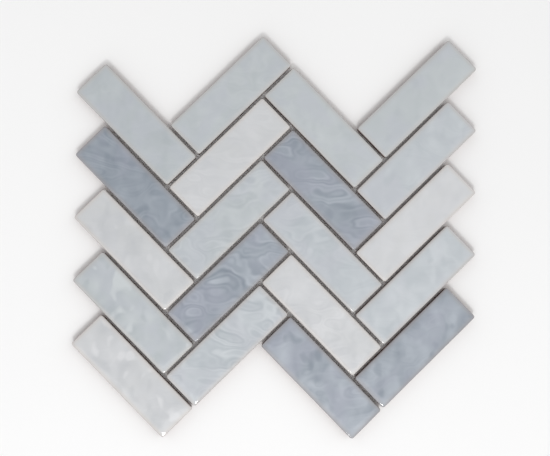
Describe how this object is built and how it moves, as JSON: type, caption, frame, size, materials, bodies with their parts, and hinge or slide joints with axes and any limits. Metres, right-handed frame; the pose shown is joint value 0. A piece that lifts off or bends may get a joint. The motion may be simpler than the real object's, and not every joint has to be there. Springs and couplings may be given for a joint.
{
  "type": "herringbone ceramic mosaic tile sheet",
  "caption": "Square mosaic sheet of glossy rectangular ceramic tiles laid in herringbone with open joints, mesh-backed, with an interlocking zigzag outline.",
  "frame": {"origin": "under the middle of the sheet, on the surface that it lies on", "axes": "+X across the columns to the picture's right, +Y up the rows to the picture's top, +Z out of the glazed faces; the tiles run at 45 degrees to X and Y"},
  "size_m": [0.3034, 0.3034, 0.0085],
  "materials": {
    "glaze_white": "high-gloss cloudy glaze with a rippled face over red-brown bisque sides and back",
    "glaze_pale_blue": "high-gloss cloudy glaze with a rippled face over red-brown bisque sides and back",
    "glaze_light_blue": "high-gloss cloudy glaze with a rippled face over red-brown bisque sides and back",
    "glaze_grey_blue": "high-gloss cloudy glaze with a rippled face over red-brown bisque sides and back",
    "fibreglass_mesh": "coated white glass yarn, slightly glossy"
  },
  "bodies": {
    "root": {"tile_column_1_row_1": "glaze_light_blue", "tile_column_1_row_2": "glaze_grey_blue", "tile_column_1_row_3": "glaze_white", "tile_column_1_row_4": "glaze_light_blue", "tile_column_1_row_5": "glaze_white", "tile_column_2_row_1": "glaze_light_blue", "tile_column_2_row_2": "glaze_white", "tile_column_2_row_3": "glaze_light_blue", "tile_column_2_row_4": "glaze_grey_blue", "tile_column_2_row_5": "glaze_pale_blue", "tile_column_3_row_1": "glaze_light_blue", "tile_column_3_row_2": "glaze_grey_blue", "tile_column_3_row_3": "glaze_pale_blue", "tile_column_3_row_4": "glaze_white", "tile_column_3_row_5": "glaze_grey_blue", "tile_column_4_row_1": "glaze_light_blue", "tile_column_4_row_2": "glaze_pale_blue", "tile_column_4_row_3": "glaze_white", "tile_column_4_row_4": "glaze_pale_blue", "tile_column_4_row_5": "glaze_grey_blue", "mesh_warp": "fibreglass_mesh", "mesh_weft": "fibreglass_mesh"}
  },
  "joints": []
}
